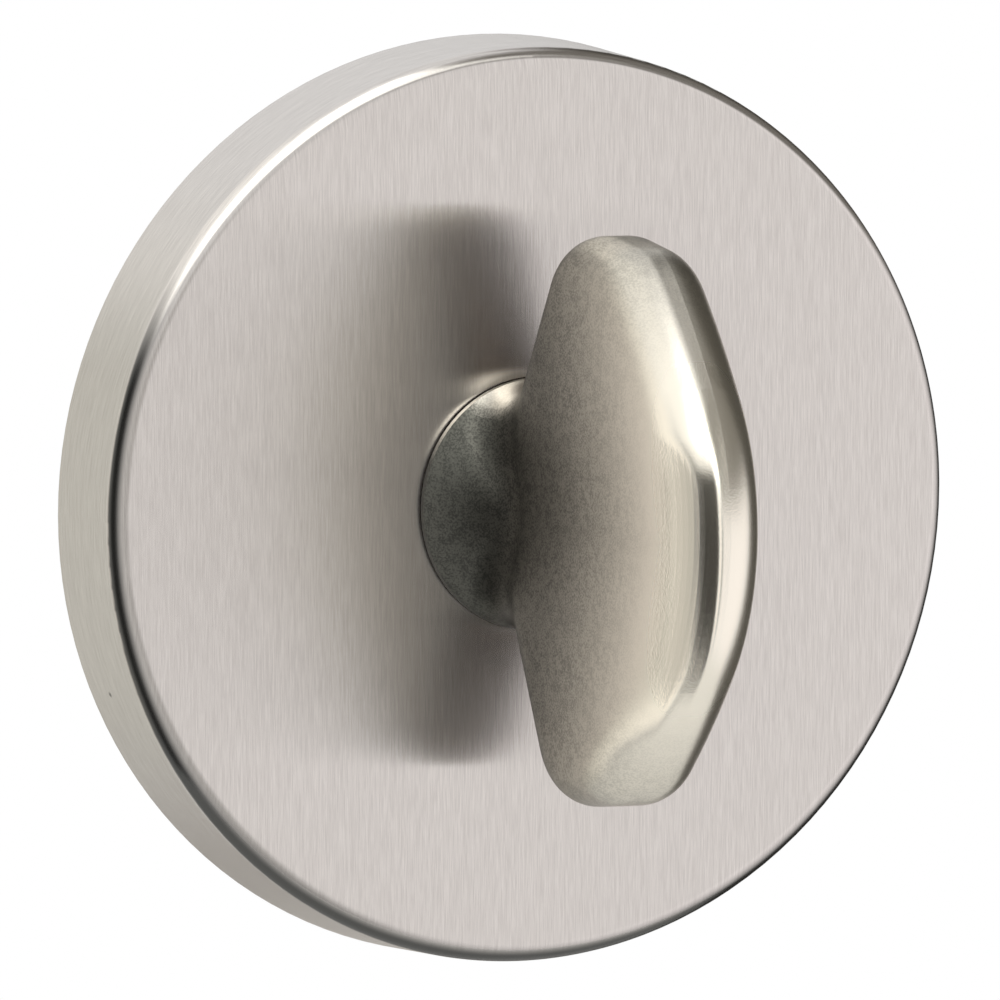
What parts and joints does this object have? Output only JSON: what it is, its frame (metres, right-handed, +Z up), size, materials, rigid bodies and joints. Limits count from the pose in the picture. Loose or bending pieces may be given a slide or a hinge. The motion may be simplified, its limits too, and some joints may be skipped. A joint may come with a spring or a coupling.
{
  "type": "bathroom thumb turn lock",
  "caption": "Round brushed metal rose with an upright oval thumb turn on a flared neck; the turn swings a quarter turn and drives a square spindle through the door.",
  "frame": {"origin": "on the turning axis at the door's surface, the back plane of the inner rose", "axes": "-Y is the front, where the thumb turn stands; +Y goes into the door along the spindle; +Z is up"},
  "size_m": [0.05, 0.075, 0.05],
  "materials": {
    "brushed_stainless": "straight vertical brushing on the face, round the rim on its side",
    "satin_nickel": "satin plated casting, finely mottled",
    "die_cast_zinc": "raw die casting",
    "acetal": "natural acetal",
    "zinc_plated_steel": "bright zinc plating",
    "spring_steel": "tempered spring steel",
    "black_spring_steel": "phosphated spring steel"
  },
  "bodies": {
    "rose": {"rose_cover": "brushed_stainless", "inner_rose": "die_cast_zinc", "turn_bush": "acetal", "slip_washer": "spring_steel", "bolt_sleeve_left": "zinc_plated_steel", "bolt_sleeve_right": "zinc_plated_steel", "wood_screw_upper": "zinc_plated_steel", "wood_screw_lower": "zinc_plated_steel", "cover_clip_1": "spring_steel", "cover_clip_2": "spring_steel", "cover_clip_3": "spring_steel", "cover_clip_4": "spring_steel"},
    "turn": {"thumb_turn": "satin_nickel", "spindle": "zinc_plated_steel", "spindle_pin": "spring_steel", "wave_washer": "spring_steel", "stop_disc": "zinc_plated_steel", "retaining_ring": "black_spring_steel"}
  },
  "joints": [
    {"name": "turn_hinge", "type": "hinge", "parent": "rose", "child": "turn", "pos_m": [0, 0, 0], "axis": [0, 1, 0], "range_deg": [-1.4, 88.6]}
  ]
}
